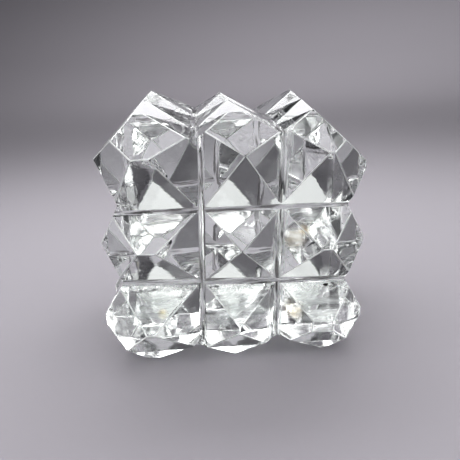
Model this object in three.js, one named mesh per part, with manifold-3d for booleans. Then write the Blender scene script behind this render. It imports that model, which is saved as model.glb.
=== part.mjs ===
// Faceted rock-crystal cube: every face carries a 3 x 3 grid of low four-sided points.
// Two upright and two level V-grooves per face leave the nine points, and every cube edge is
// bevelled so that the outer facets of neighbouring faces run into one another.
// It is hand-cut, so the grooves wander a little: offsets, leans and wall angles differ.
// Millimetres, degrees, +Z up, front face towards -Y. Origin: middle of the footprint, on the
// surface the stone stands on.

import * as THREE from 'three';
import { mergeVertices } from 'three/addons/utils/BufferGeometryUtils.js';
import Module from 'manifold-3d';

const wasm = await Module();
wasm.setup();

// ---------------------------------------------------------------- driving dimensions
const BLANK_SIZE = 46; // sawn cube before the bevels and grooves
const CUTTER_LENGTH = 64; // every cutter runs right through the blank
const BEVEL_CUTTER = 40; // thickness of the block that takes an edge off

const GROOVE_WALL = 30; // usual slope of a groove wall against the face
const GROOVE_FLOOR_HALF = 0.5; // half the width of the rounded groove bottom
const GROOVE_FLOOR_SAG = 0.15; // how much the groove bottom dips below its two rims
const GROOVE_FLOOR_STEPS = 4; // straight steps along the rounded bottom
const GROOVE_CUTTER_RISE = 12; // height of the V-shaped cutter above the groove bottom

const STAND_ROLL = 1.4; // the bottom points are uneven, so the stone stands slightly rolled
const STAND_PITCH = 1.2; // and leans a little towards its front
const STAND_HEIGHT = 18.45; // centre of the stone above the surface it stands on

// Distance from the centre of the stone to the groove bottoms of each face.
const FLOOR_DEPTH = {
  front: 14,
  back: 16.7,
  left: 16.6,
  right: 16,
  top: 16,
  bottom: 15.3,
};

const OUTWARD = {
  front: new THREE.Vector3(0, -1, 0),
  back: new THREE.Vector3(0, 1, 0),
  left: new THREE.Vector3(-1, 0, 0),
  right: new THREE.Vector3(1, 0, 0),
  top: new THREE.Vector3(0, 0, 1),
  bottom: new THREE.Vector3(0, 0, -1),
};

const X = new THREE.Vector3(1, 0, 0);
const Y = new THREE.Vector3(0, 1, 0);
const Z = new THREE.Vector3(0, 0, 1);

// One groove: it runs along `along` at the offset `at` on the axis `across`. `lean` turns it
// towards +across, `tilt` lifts it outwards, `sink` cuts it deeper than the face's floor depth,
// `low` and `high` are the slopes of its walls on the lower and the higher side of `across`.
const GROOVES = [
  // front face
  { face: 'front', along: Z, across: X, at: -5, lean: 1.4, tilt: -0.4, low: 29, high: 33 },
  { face: 'front', along: Z, across: X, at: 6.1, lean: 2.9, tilt: 0.3, low: 33, high: 31 },
  { face: 'front', along: X, across: Z, at: 5.6, lean: 0.1, tilt: -0.8, low: 33, high: 24.5 },
  { face: 'front', along: X, across: Z, at: -5.4, lean: -1.5, tilt: -0.6, high: 33 },
  // back face
  { face: 'back', along: Z, across: X, at: -6.3, lean: -0.3, sink: 0.2, low: 29, high: 28.5 },
  { face: 'back', along: Z, across: X, at: 4.9, lean: 1.3, tilt: -1, low: 35, high: 28 },
  { face: 'back', along: X, across: Z, at: 4.9, tilt: -0.3, low: 32, high: 28.5 },
  { face: 'back', along: X, across: Z, at: -6.8, lean: 0.7, tilt: 0.3, sink: 0.2 },
  // left face
  { face: 'left', along: Z, across: Y, at: -5.8, lean: -0.3, tilt: -0.3, low: 31 },
  { face: 'left', along: Z, across: Y, at: 6.1, lean: 0.5, high: 32 },
  { face: 'left', along: Y, across: Z, at: 6.6, lean: -0.9, low: 26.5, high: 29 },
  { face: 'left', along: Y, across: Z, at: -5, lean: -0.8, tilt: -0.4 },
  // right face
  { face: 'right', along: Z, across: Y, at: -6.4, lean: 0.2, tilt: 0.2, low: 29.5 },
  { face: 'right', along: Z, across: Y, at: 6.1, lean: -0.5 },
  { face: 'right', along: Y, across: Z, at: 5.4, lean: 0.2, tilt: -0.5, high: 33 },
  { face: 'right', along: Y, across: Z, at: -5.8, lean: -0.3, tilt: 0.4, high: 32.5 },
  // top face
  { face: 'top', along: Y, across: X, at: -5.5, lean: 0.6, tilt: 1.5, low: 26, high: 33.5 },
  { face: 'top', along: Y, across: X, at: 6, lean: -2.1, tilt: -0.6, low: 29, high: 31 },
  { face: 'top', along: X, across: Y, at: -6.1, lean: 0.2, tilt: -0.2 },
  { face: 'top', along: X, across: Y, at: 5.8, lean: -0.6, tilt: 0.6, high: 31 },
  // bottom face
  { face: 'bottom', along: Y, across: X, at: -6.3, lean: 0.2, low: 31, high: 29 },
  { face: 'bottom', along: Y, across: X, at: 6.2, lean: 0.2, tilt: 1.7, sink: 0.4, low: 31, high: 29 },
  { face: 'bottom', along: X, across: Y, at: -6.3, lean: 0.8, tilt: -1.7 },
  { face: 'bottom', along: X, across: Y, at: 5.7, lean: 0.3, tilt: -0.8, sink: -0.2 },
];

// One bevel per cube edge: `slope` is the angle between the bevel's outward direction and the
// first face's, `skew` turns the bevel along the edge, `proud` is how far it stays outside the
// corner of the two faces' groove bottoms.
const BEVELS = [
  { faces: ['front', 'left'], slope: 44, skew: 0.7, proud: 0.4 },
  { faces: ['front', 'right'], slope: 43, skew: -0.1, proud: 0.3 },
  { faces: ['front', 'top'], slope: 50, skew: -0.3, proud: 0.2 },
  { faces: ['front', 'bottom'], slope: 42, skew: 0.3, proud: 0.3 },
  { faces: ['top', 'left'], slope: 45.5, skew: -0.3, proud: -0.1 },
  { faces: ['top', 'right'], slope: 44, skew: -1.2, proud: -0.8 },
  { faces: ['left', 'bottom'], slope: 45, skew: -0.9, proud: 0.1 },
  { faces: ['right', 'bottom'], slope: 46.5, skew: 0.1, proud: 0 },
  { faces: ['back', 'left'], slope: 45, skew: -0.1, proud: -0.1 },
  { faces: ['back', 'right'], slope: 45.5, skew: 1.1, proud: 0.6 },
  { faces: ['back', 'top'], slope: 45, skew: -0.3, proud: 0.1 },
  { faces: ['back', 'bottom'], slope: 45, skew: 0, proud: 0.1 },
];

// The point at the lower right of the front face ends in a small worn facet.
const WORN_FACET = { x: 12.3, z: -12, depth: 16.7, size: 8 };

const rad = THREE.MathUtils.degToRad;
const cotangent = (angle) => 1 / Math.tan(rad(angle));

// ---------------------------------------------------------------- solids
function toSolid(geometry) {
  const bare = geometry.index ? geometry.toNonIndexed() : geometry.clone();
  bare.deleteAttribute('normal');
  bare.deleteAttribute('uv');
  const merged = mergeVertices(bare, 1e-5);
  return new wasm.Manifold(new wasm.Mesh({
    numProp: 3,
    vertProperties: new Float32Array(merged.attributes.position.array),
    triVerts: new Uint32Array(merged.index.array),
  }));
}

function toGeometry(solid) {
  const mesh = solid.getMesh();
  const geometry = new THREE.BufferGeometry();
  geometry.setAttribute('position', new THREE.BufferAttribute(mesh.vertProperties, 3));
  geometry.setIndex(new THREE.BufferAttribute(mesh.triVerts, 1));
  return geometry;
}

// Right-handed frame whose first axis follows `across`, whose second follows `outward`, and
// whose third runs along `line`, either way.
function frameAlong(line, across, outward, origin) {
  const up = outward.clone().addScaledVector(line, -outward.dot(line)).normalize();
  const side = across.clone().addScaledVector(line, -across.dot(line));
  side.addScaledVector(up, -side.dot(up)).normalize();
  const run = side.clone().cross(up);
  return new THREE.Matrix4().makeBasis(side, up, run).setPosition(origin);
}

function grooveCutter({
  face, along, across, at, lean = 0, tilt = 0, sink = 0, low = GROOVE_WALL, high = GROOVE_WALL,
}) {
  const reachLow = GROOVE_FLOOR_HALF + GROOVE_CUTTER_RISE * cotangent(low);
  const reachHigh = GROOVE_FLOOR_HALF + GROOVE_CUTTER_RISE * cotangent(high);
  const section = new THREE.Shape();
  section.moveTo(reachHigh, GROOVE_CUTTER_RISE);
  section.lineTo(-reachLow, GROOVE_CUTTER_RISE);
  section.lineTo(-GROOVE_FLOOR_HALF, 0);
  section.quadraticCurveTo(0, -2 * GROOVE_FLOOR_SAG, GROOVE_FLOOR_HALF, 0);
  section.closePath();
  const cutter = new THREE.ExtrudeGeometry(section, {
    depth: CUTTER_LENGTH,
    bevelEnabled: false,
    curveSegments: GROOVE_FLOOR_STEPS,
  });
  cutter.translate(0, 0, -CUTTER_LENGTH / 2);

  const outward = OUTWARD[face];
  const line = along.clone();
  line.addScaledVector(across, Math.tan(rad(lean)));
  line.addScaledVector(outward, Math.tan(rad(tilt)));
  line.normalize();
  const origin = across.clone().multiplyScalar(at);
  origin.addScaledVector(outward, FLOOR_DEPTH[face] - sink);
  cutter.applyMatrix4(frameAlong(line, across, outward, origin));
  return toSolid(cutter);
}

function bevelCutter({ faces, slope, skew, proud }) {
  const [first, second] = faces.map((face) => OUTWARD[face]);
  const edge = first.clone().cross(second);
  const outward = first.clone().multiplyScalar(Math.cos(rad(slope)));
  outward.addScaledVector(second, Math.sin(rad(slope)));
  outward.multiplyScalar(Math.cos(rad(skew)));
  outward.addScaledVector(edge, Math.sin(rad(skew)));

  const corner = first.clone().multiplyScalar(FLOOR_DEPTH[faces[0]] + proud);
  corner.addScaledVector(second, FLOOR_DEPTH[faces[1]] + proud);
  const line = edge.clone().addScaledVector(outward, -edge.dot(outward)).normalize();
  const across = outward.clone().cross(line);
  const cutter = new THREE.BoxGeometry(CUTTER_LENGTH, BEVEL_CUTTER, CUTTER_LENGTH);
  cutter.translate(0, BEVEL_CUTTER / 2, 0);
  cutter.applyMatrix4(frameAlong(line, across, outward, corner));
  return toSolid(cutter);
}

function wornFacetCutter({ x, z, depth, size }) {
  const cutter = new THREE.BoxGeometry(size, size, size);
  cutter.translate(0, -size / 2, 0);
  cutter.translate(x, -depth, z);
  return toSolid(cutter);
}

// ---------------------------------------------------------------- the stone
let stone = toSolid(new THREE.BoxGeometry(BLANK_SIZE, BLANK_SIZE, BLANK_SIZE));
for (const bevel of BEVELS) {
  stone = stone.subtract(bevelCutter(bevel));
}
for (const groove of GROOVES) {
  stone = stone.subtract(grooveCutter(groove));
}
stone = stone.subtract(wornFacetCutter(WORN_FACET));

// Stand it up: roll it onto its bottom points and flatten the tips that touch the surface.
const rolled = toGeometry(stone);
rolled.rotateY(rad(STAND_ROLL));
rolled.rotateX(rad(STAND_PITCH));
rolled.translate(0, 0, STAND_HEIGHT);
const ground = new THREE.BoxGeometry(CUTTER_LENGTH, CUTTER_LENGTH, BLANK_SIZE);
ground.translate(0, 0, -BLANK_SIZE / 2);
const body = toGeometry(toSolid(rolled).subtract(toSolid(ground)));

body.computeBoundingBox();
const middle = body.boundingBox.getCenter(new THREE.Vector3());
body.translate(-middle.x, -middle.y, 0);

const quartz = new THREE.MeshStandardMaterial({
  color: 0xdfe8e4,
  roughness: 0.04,
  metalness: 0,
  transparent: true,
  opacity: 0.35,
});

const crystal = new THREE.Mesh(body, quartz);
crystal.name = 'quartz_crystal';

const group = new THREE.Group();
group.add(crystal);

export default group;
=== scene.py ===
"""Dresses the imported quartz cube: worn ridges, slightly domed facets, ground grooves, healed cracks."""

import math

import bmesh
import bpy
from mathutils import Euler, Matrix, Vector, geometry, noise


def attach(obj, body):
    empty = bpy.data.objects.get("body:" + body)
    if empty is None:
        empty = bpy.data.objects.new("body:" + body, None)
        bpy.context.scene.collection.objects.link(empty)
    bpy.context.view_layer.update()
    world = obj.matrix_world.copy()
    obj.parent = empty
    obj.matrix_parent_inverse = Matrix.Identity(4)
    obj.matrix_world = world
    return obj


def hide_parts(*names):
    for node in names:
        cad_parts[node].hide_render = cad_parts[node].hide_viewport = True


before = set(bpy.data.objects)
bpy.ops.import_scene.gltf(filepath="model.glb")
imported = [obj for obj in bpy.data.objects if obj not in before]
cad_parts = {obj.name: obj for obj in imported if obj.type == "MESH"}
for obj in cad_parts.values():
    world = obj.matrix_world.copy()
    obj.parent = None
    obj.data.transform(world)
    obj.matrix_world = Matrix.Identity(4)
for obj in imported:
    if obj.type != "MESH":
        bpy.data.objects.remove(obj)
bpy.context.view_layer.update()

MM = 0.001

# ---------------------------------------------------------------- camera
CAMERA_AT = Vector((-4.13, -102.09, 46.03)) * MM
CAMERA_TURN = (73.65, 2.83, -3.16)
CAMERA_LENS = 50.05
CAMERA_SENSOR = 36.0
CAMERA_NEAR = 0.004
CAMERA_FAR = 20

# ---------------------------------------------------------------- cut surface
WELD = 2e-6
FLAT_ANGLE = math.radians(0.4)  # triangles that differ by less are one facet
STRIP_WIDTH = 0.36 * MM  # a narrower face is part of a groove bottom
RIDGE_ANGLE = math.radians(8)
RIDGE_ROUND = 0.13 * MM
RIDGE_SEGMENTS = 3
SHORTEST_RIDGE = 0.45 * MM

DOMED_AREA = 2.5 * MM * MM  # smaller facets stay flat
DOME_RISE = 0.045 * MM
DOME_STEPS = 160
USUAL_FACET = 9 * MM  # size of a facet that rises by just DOME_RISE
HIGHEST_DOME = 1.3  # the biggest facets rise this many times DOME_RISE at most
LATTICE = 0.8 * MM
LATTICE_ROWS = LATTICE * 0.866
LATTICE_CLEARANCE = LATTICE * 0.3
TRIANGULATION_MERGE = 1e-9
INSIDE_FACES_ONLY = 1  # what delaunay_2d_cdt gives back

UNDERSIDE = -0.4  # a facet whose normal points further down belongs to the underside

# What a face is: a facet has its own number from 0 up, the others one of these.
GROOVE = -2
RIDGE = -1

# Material slots, in the order in which crystal() fills them. Grooves along Y and Z have the two
# slots after SLOT_GROOVE_X: their lines of painted shade and relief run along them, so each direction has
# its own.
SLOT_POLISHED = 0
SLOT_UNDERSIDE = 1
SLOT_RIDGE = 2
SLOT_GROOVE_X = 3


def face_width(face):
    longest = max(edge.calc_length() for edge in face.edges)
    return face.calc_area() / longest


def is_ridge(edge, kind):
    if edge.calc_length() < SHORTEST_RIDGE:
        return False
    if any(face[kind] == GROOVE for face in edge.link_faces):
        return False
    return edge.calc_face_angle_signed() > RIDGE_ANGLE


def cut_surface(node):
    """The CAD solid as flat facets, with the ridges rounded. Each face says what it is."""
    bm = bmesh.new()
    bm.from_mesh(node.data)
    bmesh.ops.remove_doubles(bm, verts=bm.verts, dist=WELD)
    bmesh.ops.dissolve_limit(bm, angle_limit=FLAT_ANGLE, verts=bm.verts, edges=bm.edges)
    kind = bm.faces.layers.int.new("kind")
    for number, face in enumerate(bm.faces):
        face[kind] = GROOVE if face_width(face) < STRIP_WIDTH else number
    made = bmesh.ops.bevel(
        bm,
        geom=[edge for edge in bm.edges if is_ridge(edge, kind)],
        offset=RIDGE_ROUND,
        offset_type="OFFSET",
        segments=RIDGE_SEGMENTS,
        profile=0.5,
        affect="EDGES",
        clamp_overlap=False,
        material=-1,
    )
    for face in made["faces"]:
        face[kind] = RIDGE
    bmesh.ops.remove_doubles(bm, verts=bm.verts, dist=WELD)
    return bm, kind


def facet_axes(face):
    """Two directions in the facet, the first along its longest edge, and its normal."""
    normal = face.normal.copy()
    longest = max(face.edges, key=lambda edge: edge.calc_length())
    side = (longest.verts[1].co - longest.verts[0].co).normalized()
    side = (side - normal * side.dot(normal)).normalized()
    return side, normal.cross(side), normal


def edge_distance(point, corners):
    nearest = math.inf
    for a, b in zip(corners, corners[1:] + corners[:1]):
        along_edge = b - a
        squared = along_edge.length_squared
        share = (point - a).dot(along_edge) / squared if squared else 0
        nearest = min(nearest, (point - a - along_edge * min(max(share, 0), 1)).length)
    return nearest


def inside(point, corners):
    odd = False
    for a, b in zip(corners, corners[1:] + corners[:1]):
        if (a.y > point.y) != (b.y > point.y):
            if point.x < a.x + (point.y - a.y) / (b.y - a.y) * (b.x - a.x):
                odd = not odd
    return odd


def lattice_points(corners):
    """Points in even, staggered rows inside an outline, clear of its edges."""
    low_x, high_x = min(c.x for c in corners), max(c.x for c in corners)
    low_y, high_y = min(c.y for c in corners), max(c.y for c in corners)
    points = []
    row, y = 0, low_y + LATTICE / 2
    while y < high_y:
        x = low_x + LATTICE * (0.5 if row % 2 else 1)
        while x < high_x:
            point = Vector((x, y))
            if inside(point, corners) and edge_distance(point, corners) > LATTICE_CLEARANCE:
                points.append(point)
            x += LATTICE
        row, y = row + 1, y + LATTICE_ROWS
    return points


def dome_heights(count, inner, triangles):
    """Heights from 0 at the rim to 1 at the top, as a skin blown up over the facet has them."""
    beside = {i: set() for i in range(count)}
    for triangle in triangles:
        for i in triangle:
            beside[i].update(j for j in triangle if j != i)
    rise = [0.0] * count
    for _ in range(DOME_STEPS):
        for i in inner:
            rise[i] = sum(rise[j] for j in beside[i]) / len(beside[i]) + 1.0
    top = max(rise)
    return [height / top for height in rise]


def dome(bm, kind, face):
    """Replaces a flat facet by a lattice that rises gently to its middle, as a lap leaves it."""
    side, up, normal = facet_axes(face)
    rim = list(face.verts)
    origin = rim[0].co.copy()
    corners = [Vector(((v.co - origin).dot(side), (v.co - origin).dot(up))) for v in rim]
    points = lattice_points(corners)
    if not points:
        return
    outline = [list(range(len(rim)))]
    flat, _, triangles, sources, _, _ = geometry.delaunay_2d_cdt(
        corners + points, [], outline, INSIDE_FACES_ONLY, TRIANGULATION_MERGE
    )
    vert_of = []
    inner = []
    for at, source in zip(flat, sources):
        if source and source[0] < len(rim):
            vert_of.append(rim[source[0]])
        else:
            inner.append(len(vert_of))
            vert_of.append(bm.verts.new(origin + side * at.x + up * at.y))
    heights = dome_heights(len(vert_of), inner, triangles)
    highest = DOME_RISE * min(math.sqrt(face.calc_area()) / USUAL_FACET, HIGHEST_DOME)
    for i in inner:
        vert_of[i].co += normal * (highest * heights[i])
    number = face[kind]
    bm.faces.remove(face)
    for triangle in triangles:
        made = bm.faces.new([vert_of[i] for i in triangle])
        made.normal_update()
        if made.normal.dot(normal) < 0:
            made.normal_flip()
        made[kind] = number


def close_cracks(bm, kind):
    """Fills the slits, a few microns wide, that the domes leave where two ridges end side by side."""
    slits = [edge for edge in bm.edges if len(edge.link_faces) == 1]
    for face in bmesh.ops.holes_fill(bm, edges=slits)["faces"]:
        face[kind] = RIDGE
    bmesh.ops.recalc_face_normals(bm, faces=bm.faces)


def mean_normal(faces):
    total = Vector((0, 0, 0))
    for face in faces:
        total += face.normal * face.calc_area()
    return total.normalized()


def corner_normals(bm, kind):
    """One normal per face corner: a facet keeps its own, a rounded strip joins its neighbours."""
    normals = []
    for face in bm.faces:
        for loop in face.loops:
            around = loop.vert.link_faces
            if face[kind] >= 0:
                normals.append(mean_normal([f for f in around if f[kind] == face[kind]]))
                continue
            facets = [f for f in around if f[kind] >= 0]
            normals.append(mean_normal(facets if facets else around))
    return normals


def surface_slot(face, kind):
    if face[kind] == GROOVE:
        longest = max(face.edges, key=lambda edge: edge.calc_length())
        run = longest.verts[1].co - longest.verts[0].co
        return SLOT_GROOVE_X + max(range(3), key=lambda axis: abs(run[axis]))
    if face[kind] == RIDGE:
        return SLOT_RIDGE
    return SLOT_UNDERSIDE if face.normal.z < UNDERSIDE else SLOT_POLISHED


def crystal_mesh(node):
    bm, kind = cut_surface(node)
    facets = [f for f in bm.faces if f[kind] >= 0 and f.calc_area() > DOMED_AREA]
    for face in facets:
        dome(bm, kind, face)
    close_cracks(bm, kind)
    for vert in bm.verts:
        vert.co.z = max(vert.co.z, 0.0)
    bm.verts.index_update()
    bm.faces.index_update()
    bm.normal_update()
    for face in bm.faces:
        face.smooth = True
        face.material_index = surface_slot(face, kind)
    normals = corner_normals(bm, kind)
    mesh = mesh_from(bm, "quartz_cube")
    mesh.normals_split_custom_set(normals)
    return mesh


def mesh_from(bm, name):
    mesh = bpy.data.meshes.new(name)
    bm.to_mesh(mesh)
    bm.free()
    return mesh


def place(mesh, name):
    piece = bpy.data.objects.new(name, mesh)
    bpy.context.scene.collection.objects.link(piece)
    return piece


def root_piece(mesh, name):
    piece = place(mesh, name)
    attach(piece, "root")
    return piece


def crystal():
    mesh = crystal_mesh(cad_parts["quartz_crystal"])
    for material in (
        polished(),
        underside(),
        worn_ridge(),
        ground("clear_quartz_grooves_x", (GROOVE_STRETCH, 1, 1)),
        ground("clear_quartz_grooves_y", (1, GROOVE_STRETCH, 1)),
        ground("clear_quartz_grooves_z", (1, 1, GROOVE_STRETCH), FROST_UPRIGHT),
    ):
        mesh.materials.append(material)
    piece = root_piece(mesh, "quartz_cube")
    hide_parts("quartz_crystal")


# ---------------------------------------------------------------- flaws of the stone, in mm
# Healed cracks: name, middle, size, turn in degrees, tint, how solid their wisps are
AMBER = (0.93, 0.87, 0.78, 1)
MILKY = (0.97, 1, 1, 1)
VEILS = (
    ("veil", (9.4, -12.6, 18.2), (4.4, 3.8), (62, 20, -18), AMBER, 0.85),
    ("veil_foot_left", (-11.3, -12.4, 7.7), (10.5, 7), (70, 3, 6), MILKY, 0.55),
    ("veil_foot_middle", (0.3, -12.6, 7.3), (9.5, 7), (74, -4, -5), MILKY, 0.6),
    ("veil_foot_right", (11, -12.4, 6.9), (9.5, 7), (68, 5, 8), MILKY, 0.6),
)
VEIL_CELLS = 16
VEIL_RIPPLE = 0.35
VEIL_RIPPLES_PER_MM = 0.55
VEIL_THICK = 0.04

GRAIN_AT = (13.05, -15.2, 11.34)
GRAIN_SIZE = (0.38, 0.16, 0.17)
GRAIN_LUMPS = 0.35
GRAIN_LUMP_SCALE = 1.7

# The chip itself is not cut: a near-black ring of painted shade stands for its rim.
CHIP_AT = (5.17, -15.23, 11.56)
CHIP_NORMAL = (0.54, -0.84, -0.06)
CHIP_RADIUS = 0.25
CHIP_RIM = 0.05  # half the thickness of the rim, on average
CHIP_RIM_UNEVEN = 0.5
CHIP_RIM_TURN = 0.8
CHIP_STEPS = 24
CHIP_SIDES = 8


def veil(name, middle, size, turn, tint, density):
    """A healed crack, as a thin rippled sheet inside the stone."""
    bm = bmesh.new()
    layout = bm.loops.layers.uv.new("sheet")
    turned = Euler([math.radians(angle) for angle in turn]).to_matrix()
    grid = []
    for row in range(VEIL_CELLS + 1):
        line = []
        for column in range(VEIL_CELLS + 1):
            u = column / VEIL_CELLS * 2 - 1
            v = row / VEIL_CELLS * 2 - 1
            at = Vector((u * size[0] / 2, v * size[1] / 2, 0))
            at.z = VEIL_RIPPLE * noise.noise(at * VEIL_RIPPLES_PER_MM + Vector(middle))
            vert = bm.verts.new((Vector(middle) + turned @ at) * MM)
            line.append((vert, (u, v)))
        grid.append(line)
    for low, high in zip(grid, grid[1:]):
        for column in range(VEIL_CELLS):
            corners = [low[column], low[column + 1], high[column + 1], high[column]]
            face = bm.faces.new([vert for vert, _ in corners])
            face.smooth = True
            for loop, (_, place_in_sheet) in zip(face.loops, corners):
                loop[layout].uv = place_in_sheet
    bm.normal_update()
    bmesh.ops.solidify(bm, geom=list(bm.faces), thickness=VEIL_THICK * MM)
    mesh = mesh_from(bm, name)
    mesh.materials.append(veil_material(name, tint, density))
    root_piece(mesh, name)


def grain(dark):
    """A dark mineral grain that reaches the surface."""
    bm = bmesh.new()
    bmesh.ops.create_icosphere(bm, subdivisions=3, radius=1)
    for vert in bm.verts:
        lump = 1 + GRAIN_LUMPS * noise.noise(vert.co * GRAIN_LUMP_SCALE)
        vert.co = Vector(
            (middle + half * value * lump) * MM
            for middle, half, value in zip(GRAIN_AT, GRAIN_SIZE, vert.co)
        )
    for face in bm.faces:
        face.smooth = True
    mesh = mesh_from(bm, "grain")
    mesh.materials.append(dark)
    root_piece(mesh, "grain")


def chip_shade_ring(dark):
    """A near-black ring, thicker on one side, painted as the shade at the rim of a shallow round chip
    beside the groove crossing.
    """
    bm = bmesh.new()
    normal = Vector(CHIP_NORMAL).normalized()
    side = normal.cross(Vector((0, 0, 1))).normalized()
    up = side.cross(normal)
    rings = []
    for step in range(CHIP_STEPS):
        angle = math.tau * step / CHIP_STEPS
        out = side * math.cos(angle) + up * math.sin(angle)
        thick = CHIP_RIM * (1 + CHIP_RIM_UNEVEN * math.sin(angle + CHIP_RIM_TURN))
        ring = []
        for part in range(CHIP_SIDES):
            tip = math.tau * part / CHIP_SIDES
            at = Vector(CHIP_AT) + out * (CHIP_RADIUS + thick * math.cos(tip))
            at += normal * thick * math.sin(tip)
            ring.append(bm.verts.new(at * MM))
        rings.append(ring)
    for ring, after in zip(rings, rings[1:] + rings[:1]):
        for part in range(CHIP_SIDES):
            ahead = (part + 1) % CHIP_SIDES
            face = bm.faces.new((ring[part], ring[ahead], after[ahead], after[part]))
            face.smooth = True
    bmesh.ops.recalc_face_normals(bm, faces=bm.faces)
    mesh = mesh_from(bm, "chip_rim_painted_shade")
    mesh.materials.append(dark)
    root_piece(mesh, "chip_rim_painted_shade")


# ---------------------------------------------------------------- materials
QUARTZ_IOR = 1.544
QUARTZ_TINT = (0.975, 1, 0.985, 1)

# Streaks: stretch along X, Y and Z (small means long streaks), scale and detail of the noise
LAP_WAVES = ((0.25, 1, 1), 420, 3)
LAP_RELIEF = 0.006 * MM
UNDERSIDE_HAZE = ((0.15, 1, 1), 700, 3)
UNDERSIDE_RELIEF = 0.03 * MM
RIDGE_CHIPS = ((1, 1, 1), 1500, 3)

GROOVE_STRETCH = 0.08
GROOVE_SCALE = 2200
GROOVE_DETAIL = 4
GROOVE_RELIEF = 0.007 * MM
# The darker groove colour is painted shade, laid in lines along each groove bottom.
GROOVE_PAINTED_SHADE = (0.2, 0.2, 0.19, 1)
GROOVE_BRIGHT = (0.97, 1, 0.985, 1)
GROOVE_FROST = 0.45  # how much light a groove bottom passes where it is frosted

# The foot of the stone is scuffed most, up to FOOT_FULL, and above FOOT_END only a little.
SCUFFS = ((0.12, 1, 1), 900, 4)
SCUFF_WHITE = 0.5
SCUFF_ROUGH = 0.12
SCUFFS_ABOVE_FOOT = 0.12
FOOT_FULL = 9 * MM
FOOT_END = 14 * MM

# Faint iron stains: x, y, z, radius in mm
STAINS = ((-10.88, -17.15, 9.25, 0.9), (7.6, -16.9, 8.2, 2.2), (9.6, -16.8, 20.2, 0.9))
STAIN_TINT = (0.93, 0.76, 0.46, 1)
STAIN_CORE = 0.3  # share of the radius that is fully stained
STAIN_PATCHES = ((0.5, 1, 1), 1200, 4)

# Frosted strips: direction across, stretch of the specks, start, full, edge and end in mm
FROST_LEVEL = ((0.068, 0, 1), (0.5, 1, 1), 10.9, 11.9, 12.7, 13.0)
FROST_UPRIGHT = ((1, 0, -0.09), (1, 1, 0.08), 3.4, 4.0, 5.5, 6.1)
FROST_FRONT = (-14.2 * MM, -13.6 * MM)  # it fades out between these, so only the front has it
FROST_SCALE = 3600
FROST_DETAIL = 5
FROST_WHITE = 0.6
FROST_ROUGH = 0.45

VEIL_WISPS = ((0.2, 1, 1), 800, 5)
GRAIN_MOTTLE = ((1, 1, 1), 9000, 3)
GRAIN_DARK = (0.012, 0.01, 0.009, 1)
GRAIN_LIGHT = (0.05, 0.04, 0.032, 1)

FLOOR_TINT = (0.375, 0.36, 0.385, 1)


def new_material(name):
    material = bpy.data.materials.new(name)
    material.use_nodes = True
    tree = material.node_tree
    return material, tree, tree.nodes["Principled BSDF"]


def streaks(tree, stretch, scale, detail):
    """Noise drawn out along the directions whose stretch is small."""
    where = tree.nodes.new("ShaderNodeTexCoord")
    drawn = tree.nodes.new("ShaderNodeVectorMath")
    drawn.operation = "MULTIPLY"
    drawn.inputs[1].default_value = stretch
    tree.links.new(where.outputs["Object"], drawn.inputs[0])
    cloud = tree.nodes.new("ShaderNodeTexNoise")
    cloud.inputs["Scale"].default_value = scale
    cloud.inputs["Detail"].default_value = detail
    tree.links.new(drawn.outputs["Vector"], cloud.inputs["Vector"])
    return cloud.outputs["Fac"]


def ramp(tree, value, low, high, to_low, to_high):
    level = tree.nodes.new("ShaderNodeMapRange")
    level.inputs["From Min"].default_value = low
    level.inputs["From Max"].default_value = high
    level.inputs["To Min"].default_value = to_low
    level.inputs["To Max"].default_value = to_high
    tree.links.new(value, level.inputs["Value"])
    return level.outputs["Result"]


def tint_ramp(tree, value, low, high, low_at=0.0, high_at=1.0):
    """From one colour to another as the value goes from low_at to high_at."""
    tint = tree.nodes.new("ShaderNodeValToRGB")
    first, last = tint.color_ramp.elements
    first.position, first.color = low_at, low
    last.position, last.color = high_at, high
    tree.links.new(value, tint.inputs["Fac"])
    return tint.outputs["Color"]


def bump(tree, shader, height, distance):
    relief = tree.nodes.new("ShaderNodeBump")
    relief.inputs["Strength"].default_value = 1.0
    relief.inputs["Distance"].default_value = distance
    tree.links.new(height, relief.inputs["Height"])
    tree.links.new(relief.outputs["Normal"], shader.inputs["Normal"])


def math_node(tree, operation, a, b):
    node = tree.nodes.new("ShaderNodeMath")
    node.operation = operation
    for socket, value in zip(node.inputs, (a, b)):
        if isinstance(value, (int, float)):
            socket.default_value = value
        else:
            tree.links.new(value, socket)
    return node.outputs["Value"]


def along(tree, direction):
    """How far a point of the surface lies along a direction, from the part's origin."""
    where = tree.nodes.new("ShaderNodeTexCoord")
    reach = tree.nodes.new("ShaderNodeVectorMath")
    reach.operation = "DOT_PRODUCT"
    reach.inputs[1].default_value = direction
    tree.links.new(where.outputs["Object"], reach.inputs[0])
    return reach.outputs["Value"]


def quartz(name, transmission=1.0):
    material, tree, shader = new_material(name)
    shader.inputs["Base Color"].default_value = QUARTZ_TINT
    shader.inputs["IOR"].default_value = QUARTZ_IOR
    shader.inputs["Transmission Weight"].default_value = transmission
    return material, tree, shader


def frosted(tree, direction, stretch, start, full, edge, end):
    """A ground strip beside a front groove: 0 outside it, speckled up to 1 inside."""
    across = along(tree, direction)
    begins = ramp(tree, across, start * MM, full * MM, 0.0, 1.0)
    ends = ramp(tree, across, edge * MM, end * MM, 1.0, 0.0)
    strip = math_node(tree, "MULTIPLY", begins, ends)
    front = ramp(tree, along(tree, (0, 1, 0)), *FROST_FRONT, 1.0, 0.0)
    specks = ramp(tree, streaks(tree, stretch, FROST_SCALE, FROST_DETAIL), 0.42, 0.6, 0.15, 1.0)
    return math_node(tree, "MULTIPLY", math_node(tree, "MULTIPLY", strip, front), specks)


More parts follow.
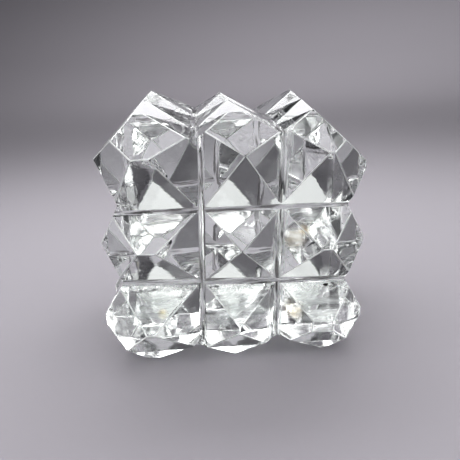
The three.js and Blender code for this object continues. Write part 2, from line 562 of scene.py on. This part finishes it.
def stained(tree):
    """The quartz's own tint, warmer at a few faint iron stains."""
    where = tree.nodes.new("ShaderNodeTexCoord")
    stain = None
    for x, y, z, radius in STAINS:
        away = tree.nodes.new("ShaderNodeVectorMath")
        away.operation = "DISTANCE"
        away.inputs[1].default_value = (x * MM, y * MM, z * MM)
        tree.links.new(where.outputs["Object"], away.inputs[0])
        distance = away.outputs["Value"]
        spot = ramp(tree, distance, radius * STAIN_CORE * MM, radius * MM, 1.0, 0.0)
        stain = spot if stain is None else math_node(tree, "MAXIMUM", stain, spot)
    patchy = ramp(tree, streaks(tree, *STAIN_PATCHES), 0.35, 0.6, 0.3, 1.0)
    return tint_ramp(tree, math_node(tree, "MULTIPLY", stain, patchy), QUARTZ_TINT, STAIN_TINT)


def polished():
    """Bright polish with lap lines, fine white scuffs near the foot and two frosted strips."""
    material, tree, shader = quartz("clear_quartz_polish")
    foot = ramp(tree, along(tree, (0, 0, 1)), FOOT_FULL, FOOT_END, 1.0, SCUFFS_ABOVE_FOOT)
    lines = streaks(tree, *SCUFFS)
    scuffs = math_node(tree, "MULTIPLY", ramp(tree, lines, 0.48, 0.72, 0.0, SCUFF_WHITE), foot)
    haze = math_node(tree, "MULTIPLY", ramp(tree, lines, 0.45, 0.75, 0.0, SCUFF_ROUGH), foot)
    level, upright = frosted(tree, *FROST_LEVEL), frosted(tree, *FROST_UPRIGHT)
    frost = math_node(tree, "MAXIMUM", level, upright)
    white = math_node(tree, "MAXIMUM", scuffs, math_node(tree, "MULTIPLY", frost, FROST_WHITE))
    rough = math_node(tree, "MAXIMUM", haze, math_node(tree, "MULTIPLY", frost, FROST_ROUGH))
    tree.links.new(math_node(tree, "SUBTRACT", 1.0, white), shader.inputs["Transmission Weight"])
    tree.links.new(rough, shader.inputs["Roughness"])
    bump(tree, shader, streaks(tree, *LAP_WAVES), LAP_RELIEF)
    tree.links.new(stained(tree), shader.inputs["Base Color"])
    return material


def underside():
    material, tree, shader = quartz("clear_quartz_underside", transmission=0.97)
    haze = streaks(tree, *UNDERSIDE_HAZE)
    tree.links.new(ramp(tree, haze, 0.45, 0.7, 0.01, 0.12), shader.inputs["Roughness"])
    bump(tree, shader, haze, UNDERSIDE_RELIEF)
    return material


def worn_ridge():
    material, tree, shader = quartz("clear_quartz_ridges", transmission=0.5)
    chips = streaks(tree, *RIDGE_CHIPS)
    tree.links.new(ramp(tree, chips, 0.45, 0.7, 0.02, 0.2), shader.inputs["Roughness"])
    return material


def ground(name, stretch, strip=None):
    """A groove bottom with lines along it, painted shade in its colour together with roughness and bump,
    frosted where it lies in a strip.
    """
    material, tree, shader = quartz(name)
    lines = streaks(tree, stretch, GROOVE_SCALE, GROOVE_DETAIL)
    tree.links.new(ramp(tree, lines, 0.45, 0.7, 0.0, 0.05), shader.inputs["Roughness"])
    bump(tree, shader, lines, GROOVE_RELIEF)
    # Painted shade: the lines darken the groove bottom's colour.
    tone = tint_ramp(tree, lines, GROOVE_PAINTED_SHADE, GROOVE_BRIGHT, 0.4, 0.52)
    tree.links.new(tone, shader.inputs["Base Color"])
    if strip is not None:
        clear = ramp(tree, frosted(tree, *strip), 0.0, 1.0, 1.0, GROOVE_FROST)
        tree.links.new(clear, shader.inputs["Transmission Weight"])
    return material


def along_rim(tree):
    """1 in the middle of a sheet, 0 at its rim, from the sheet's own layout."""
    layout = tree.nodes.new("ShaderNodeUVMap")
    fade = tree.nodes.new("ShaderNodeTexGradient")
    fade.gradient_type = "SPHERICAL"
    tree.links.new(layout.outputs["UV"], fade.inputs["Vector"])
    return ramp(tree, fade.outputs["Fac"], 0.0, 0.5, 0.0, 1.0)


def veil_material(name, tint, density):
    """A healed crack inside the stone: a thin sheet that shows only in wisps."""
    material, tree, shader = new_material(name)
    shader.inputs["Base Color"].default_value = tint
    shader.inputs["Roughness"].default_value = 0.5
    wisps = ramp(tree, streaks(tree, *VEIL_WISPS), 0.4, 0.68, 0.0, density)
    tree.links.new(math_node(tree, "MULTIPLY", wisps, along_rim(tree)), shader.inputs["Alpha"])
    return material


# The grain's own dark mottled colour; the chip rim wears the same material as painted shade.
def dark_grain_and_chip_shade():
    material, tree, shader = new_material("dark_grain_and_chip_shade")
    tone = tint_ramp(tree, streaks(tree, *GRAIN_MOTTLE), GRAIN_DARK, GRAIN_LIGHT)
    tree.links.new(tone, shader.inputs["Base Color"])
    shader.inputs["Roughness"].default_value = 0.6
    return material


def floor_material():
    material, _, shader = new_material("floor")
    shader.inputs["Base Color"].default_value = FLOOR_TINT
    shader.inputs["Roughness"].default_value = 0.8
    return material


# ---------------------------------------------------------------- stage, in m
FLOOR_FLAT = 0.4
FLOOR_FLAT_RINGS = (0.1, 0.2, FLOOR_FLAT)
BOWL_REACH = 1.0
BOWL_RISE = 0.25
BOWL_RINGS = 24
BOWL_SIDES = 96

# Softboxes: name, place, what it faces, width and height, radiance
SOFTBOXES = (
    ("overhead", (0, -0.17, 0.16), (0, -0.17, 0), (0.48, 0.36), 1.1),
    ("overhead_near", (0, 0.025, 0.16), (0, 0.025, 0), (0.4, 0.03), 1.2),
    ("overhead_back", (0, 0.08, 0.16), (0, 0.08, 0), (0.2, 0.08), 4.2),
    ("behind_low", (0.01, 0.5, 0.24), (0, 0, 0.02), (0.3, 0.14), 0.62),
    ("behind_high", (0, 0.3, 0.32), (0, 0, 0.02), (0.36, 0.1), 0.35),
    ("left", (-0.39, 0.03, 0.2), (0, 0, 0.02), (0.3, 0.2), 0.9),
    ("right", (0.39, 0, 0.22), (0, 0, 0.02), (0.3, 0.2), 0.4),
    ("front", (0, -0.5, 0.22), (0, 0, 0.02), (0.6, 0.16), 0.5),
    ("backdrop", (0.12, 0.45, 0.4), (0.12, 0.7, 0.02), (0.5, 0.2), 5),
    ("backdrop_l", (-0.5, 0, 0.35), (-0.85, 0, 0.1), (0.5, 0.2), 2.5),
    ("backdrop_r", (0.5, 0, 0.35), (0.85, 0, 0.1), (0.5, 0.2), 2.5),
    ("backdrop_f", (0, -0.55, 0.35), (0, -0.935, 0.1), (0.5, 0.2), 2.5),
)
SKY_TINT = (0.055, 0.055, 0.06, 1)
LIGHT_BOUNCES = 24
EXPOSURE = -0.35


def floor_bowl():
    """A flat floor that curves up gently far from the stone, with no horizon."""
    bm = bmesh.new()
    middle = bm.verts.new((0, 0, 0))
    steps = range(1, BOWL_RINGS + 1)
    radii = list(FLOOR_FLAT_RINGS)
    radii += [FLOOR_FLAT + (BOWL_REACH - FLOOR_FLAT) * k / BOWL_RINGS for k in steps]
    last = None
    for radius in radii:
        share = max(radius - FLOOR_FLAT, 0) / (BOWL_REACH - FLOOR_FLAT)
        height = BOWL_RISE * share * share
        angles = [math.tau * k / BOWL_SIDES for k in range(BOWL_SIDES)]
        ring = [bm.verts.new((radius * math.cos(a), radius * math.sin(a), height)) for a in angles]
        for k in range(BOWL_SIDES):
            ahead = (k + 1) % BOWL_SIDES
            if last is None:
                bm.faces.new((middle, ring[k], ring[ahead]))
            else:
                bm.faces.new((last[k], ring[k], ring[ahead], last[ahead]))
        last = ring
    for face in bm.faces:
        face.smooth = True
    mesh = mesh_from(bm, "floor")
    mesh.materials.append(floor_material())
    place(mesh, "floor")


def softbox(name, at, towards, size, radiance):
    data = bpy.data.lights.new(name, "AREA")
    data.shape = "RECTANGLE"
    data.size, data.size_y = size
    data.energy = radiance * size[0] * size[1] * math.pi
    light = place(data, name)
    light.location = at
    away = Vector(at) - Vector(towards)
    light.rotation_euler = away.to_track_quat("Z", "Y").to_euler()
    light.visible_camera = False


def lights():
    for box in SOFTBOXES:
        softbox(*box)
    world = bpy.data.worlds.new("world")
    world.use_nodes = True
    world.node_tree.nodes["Background"].inputs["Color"].default_value = SKY_TINT
    bpy.context.scene.world = world


def camera():
    data = bpy.data.cameras.new("camera")
    data.lens = CAMERA_LENS
    data.sensor_width = CAMERA_SENSOR
    data.clip_start = CAMERA_NEAR
    data.clip_end = CAMERA_FAR
    made = place(data, "camera")
    made.location = CAMERA_AT
    made.rotation_euler = Euler([math.radians(turn) for turn in CAMERA_TURN])
    bpy.context.scene.camera = made


def light_paths():
    """Clear stone needs many bounces before light finds its way out."""
    cycles = bpy.context.scene.cycles
    cycles.max_bounces = LIGHT_BOUNCES
    cycles.glossy_bounces = LIGHT_BOUNCES
    cycles.transmission_bounces = LIGHT_BOUNCES


def picture_look():
    view = bpy.context.scene.view_settings
    view.view_transform = "Standard"
    view.look = "Very High Contrast"
    view.exposure = EXPOSURE


crystal()
for sheet in VEILS:
    veil(*sheet)
dark = dark_grain_and_chip_shade()
grain(dark)
chip_shade_ring(dark)
floor_bowl()
lights()
camera()
light_paths()
picture_look()
